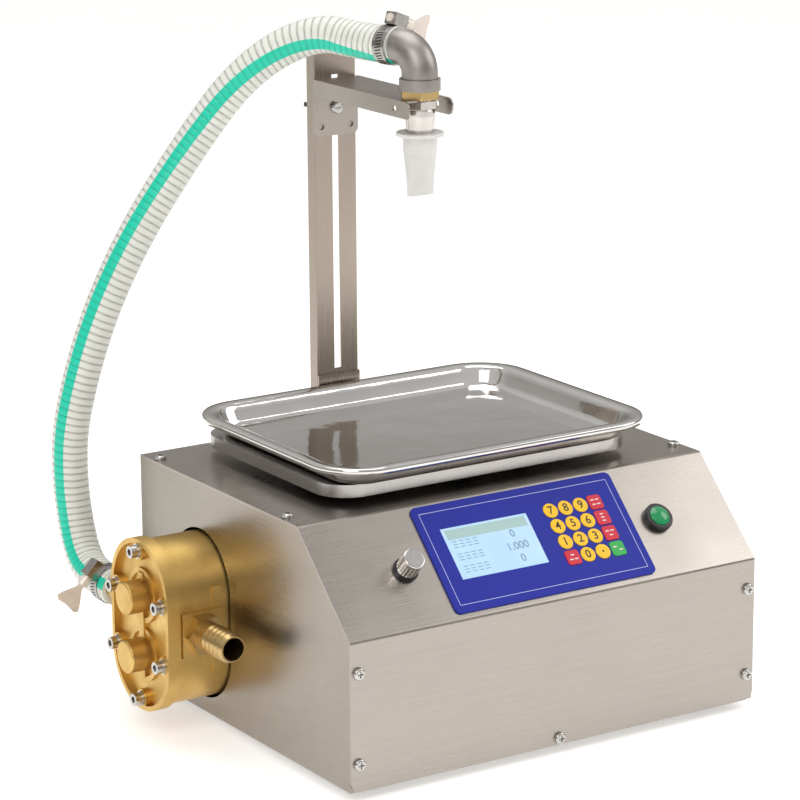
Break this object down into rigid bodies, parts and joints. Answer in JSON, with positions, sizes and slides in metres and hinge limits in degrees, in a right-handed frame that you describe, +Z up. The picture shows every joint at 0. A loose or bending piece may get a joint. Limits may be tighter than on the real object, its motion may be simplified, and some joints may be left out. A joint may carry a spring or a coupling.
{
  "type": "weighing liquid filler",
  "caption": "Benchtop weighing filler: side gear pump feeds a hose to a height-adjustable nozzle over a scale tray, with a sloped keypad panel.",
  "frame": {"origin": "on the plane of the feet's soles, below the centre of the casing", "axes": "+Z up, +X to the right along the front, +Y to the back"},
  "size_m": [0.453, 0.4086, 0.5529],
  "materials": {
    "stainless_sheet": "satin brushed",
    "polished_steel": "polished",
    "cast_steel": "matte cast",
    "brass": "satin cast",
    "gear_steel": "machined",
    "dark_screw": "blackened",
    "rubber": "matte",
    "silicone": "translucent satin",
    "hose_pvc": "translucent ribbed",
    "overlay_blue": "satin printed film",
    "key_yellow": "satin",
    "key_red": "satin",
    "key_green": "satin",
    "lcd": "matte display",
    "board": "matte",
    "black_plastic": "satin",
    "green_plastic": "gloss",
    "motor_paint": "satin",
    "aluminium": "machined"
  },
  "bodies": {
    "base": {"chassis": "stainless_sheet", "front_top_cover": "stainless_sheet", "rear_panel": "stainless_sheet", "casing_screws": "polished_steel", "rubber_feet": "rubber", "load_cell_bridge": "stainless_sheet", "load_cell": "aluminium", "platform_spider": "aluminium", "weighing_platform": "stainless_sheet", "pump_body": "brass", "pump_cover": "brass", "pump_bolts": "polished_steel", "bushes_and_seal": "gear_steel", "inlet_barb": "brass", "outlet_barb": "brass", "pump_bracket": "stainless_sheet", "drive_motor": "motor_paint", "lower_clamp_band": "polished_steel", "column": "stainless_sheet", "column_foot": "stainless_sheet", "keypad_overlay": "overlay_blue", "lcd_module": "lcd", "control_board": "board", "potentiometer": "black_plastic", "start_button_body": "black_plastic", "power_inlet": "black_plastic", "hose": "hose_pvc"},
    "tray": {"tray": "polished_steel"},
    "pump_drive": {"drive_shaft": "gear_steel", "drive_gear": "gear_steel", "motor_coupling": "aluminium"},
    "pump_idler": {"idler_gear": "gear_steel"},
    "carriage": {"nozzle_arm": "stainless_sheet", "clamp_bolt": "polished_steel", "brass_locknut": "brass", "nozzle_body": "polished_steel", "duckbill_valve": "silicone", "elbow": "cast_steel", "upper_clamp_band": "polished_steel"},
    "wing_nut": {"wing_nut": "dark_screw"},
    "lower_clamp_screw": {"lower_clamp_screw": "polished_steel"},
    "upper_clamp_screw": {"upper_clamp_screw": "polished_steel"},
    "speed_knob": {"speed_knob": "polished_steel"},
    "start_button": {"start_button_cap": "green_plastic"},
    "key_0": {"key_0": "key_yellow"},
    "key_1": {"key_1": "key_yellow"},
    "key_2": {"key_2": "key_yellow"},
    "key_3": {"key_3": "key_yellow"},
    "key_4": {"key_4": "key_yellow"},
    "key_5": {"key_5": "key_yellow"},
    "key_6": {"key_6": "key_yellow"},
    "key_7": {"key_7": "key_yellow"},
    "key_8": {"key_8": "key_yellow"},
    "key_9": {"key_9": "key_yellow"},
    "key_point": {"key_point": "key_yellow"},
    "key_red_top": {"key_red_top": "key_red"},
    "key_red_middle": {"key_red_middle": "key_red"},
    "key_red_low": {"key_red_low": "key_red"},
    "key_red_left": {"key_red_left": "key_red"},
    "key_green": {"key_green": "key_green"}
  },
  "joints": [
    {"name": "tray_lift", "type": "slide", "parent": "base", "child": "tray", "axis": [0, 0, 1], "range_m": [0, 0.04]},
    {"name": "pump_drive_spin", "type": "hinge", "parent": "base", "child": "pump_drive", "pos_m": [-0.215, 0.063, 0.066], "axis": [1, 0, 0], "continuous": true},
    {"name": "pump_idler_spin", "type": "hinge", "parent": "base", "child": "pump_idler", "pos_m": [-0.215, 0.063, 0.114], "axis": [1, 0, 0], "continuous": true},
    {"name": "nozzle_height", "type": "slide", "parent": "base", "child": "carriage", "axis": [0, 0, 1], "range_m": [-0.1, 0], "deforming": ["hose"]},
    {"name": "wing_nut_turn", "type": "hinge", "parent": "carriage", "child": "wing_nut", "pos_m": [0, 0.17, 0.463], "axis": [0, 1, 0], "continuous": true},
    {"name": "lower_clamp_turn", "type": "hinge", "parent": "base", "child": "lower_clamp_screw", "pos_m": [-0.22946, 0.171, 0.10446], "axis": [-0.7071, 0, -0.7071], "continuous": true},
    {"name": "upper_clamp_turn", "type": "hinge", "parent": "carriage", "child": "upper_clamp_screw", "pos_m": [-0.00071, 0.06577, 0.54572], "axis": [0.9118, 0.2273, -0.342], "continuous": true},
    {"name": "speed_knob_turn", "type": "hinge", "parent": "base", "child": "speed_knob", "pos_m": [-0.1187, -0.1239, 0.16063], "axis": [0, -0.7022, 0.712], "range_deg": [-150, 150]},
    {"name": "start_button_press", "type": "slide", "parent": "base", "child": "start_button", "axis": [0, 0.7022, -0.712], "range_m": [0, 0.003], "stiffness_N_per_m": 400, "springref_m": -0.001},
    {"name": "key_0_press", "type": "slide", "parent": "base", "child": "key_0", "axis": [0, 0.7022, -0.712], "range_m": [0, 0.0005], "stiffness_N_per_m": 600, "springref_m": -0.0005},
    {"name": "key_1_press", "type": "slide", "parent": "base", "child": "key_1", "axis": [0, 0.7022, -0.712], "range_m": [0, 0.0005], "stiffness_N_per_m": 600, "springref_m": -0.0005},
    {"name": "key_2_press", "type": "slide", "parent": "base", "child": "key_2", "axis": [0, 0.7022, -0.712], "range_m": [0, 0.0005], "stiffness_N_per_m": 600, "springref_m": -0.0005},
    {"name": "key_3_press", "type": "slide", "parent": "base", "child": "key_3", "axis": [0, 0.7022, -0.712], "range_m": [0, 0.0005], "stiffness_N_per_m": 600, "springref_m": -0.0005},
    {"name": "key_4_press", "type": "slide", "parent": "base", "child": "key_4", "axis": [0, 0.7022, -0.712], "range_m": [0, 0.0005], "stiffness_N_per_m": 600, "springref_m": -0.0005},
    {"name": "key_5_press", "type": "slide", "parent": "base", "child": "key_5", "axis": [0, 0.7022, -0.712], "range_m": [0, 0.0005], "stiffness_N_per_m": 600, "springref_m": -0.0005},
    {"name": "key_6_press", "type": "slide", "parent": "base", "child": "key_6", "axis": [0, 0.7022, -0.712], "range_m": [0, 0.0005], "stiffness_N_per_m": 600, "springref_m": -0.0005},
    {"name": "key_7_press", "type": "slide", "parent": "base", "child": "key_7", "axis": [0, 0.7022, -0.712], "range_m": [0, 0.0005], "stiffness_N_per_m": 600, "springref_m": -0.0005},
    {"name": "key_8_press", "type": "slide", "parent": "base", "child": "key_8", "axis": [0, 0.7022, -0.712], "range_m": [0, 0.0005], "stiffness_N_per_m": 600, "springref_m": -0.0005},
    {"name": "key_9_press", "type": "slide", "parent": "base", "child": "key_9", "axis": [0, 0.7022, -0.712], "range_m": [0, 0.0005], "stiffness_N_per_m": 600, "springref_m": -0.0005},
    {"name": "key_point_press", "type": "slide", "parent": "base", "child": "key_point", "axis": [0, 0.7022, -0.712], "range_m": [0, 0.0005], "stiffness_N_per_m": 600, "springref_m": -0.0005},
    {"name": "key_red_top_press", "type": "slide", "parent": "base", "child": "key_red_top", "axis": [0, 0.7022, -0.712], "range_m": [0, 0.0005], "stiffness_N_per_m": 600, "springref_m": -0.0005},
    {"name": "key_red_middle_press", "type": "slide", "parent": "base", "child": "key_red_middle", "axis": [0, 0.7022, -0.712], "range_m": [0, 0.0005], "stiffness_N_per_m": 600, "springref_m": -0.0005},
    {"name": "key_red_low_press", "type": "slide", "parent": "base", "child": "key_red_low", "axis": [0, 0.7022, -0.712], "range_m": [0, 0.0005], "stiffness_N_per_m": 600, "springref_m": -0.0005},
    {"name": "key_red_left_press", "type": "slide", "parent": "base", "child": "key_red_left", "axis": [0, 0.7022, -0.712], "range_m": [0, 0.0005], "stiffness_N_per_m": 600, "springref_m": -0.0005},
    {"name": "key_green_press", "type": "slide", "parent": "base", "child": "key_green", "axis": [0, 0.7022, -0.712], "range_m": [0, 0.0005], "stiffness_N_per_m": 600, "springref_m": -0.0005}
  ],
  "couplings": [
    {"joint": "pump_idler_spin", "follows": "pump_drive_spin", "ratio": -1}
  ]
}
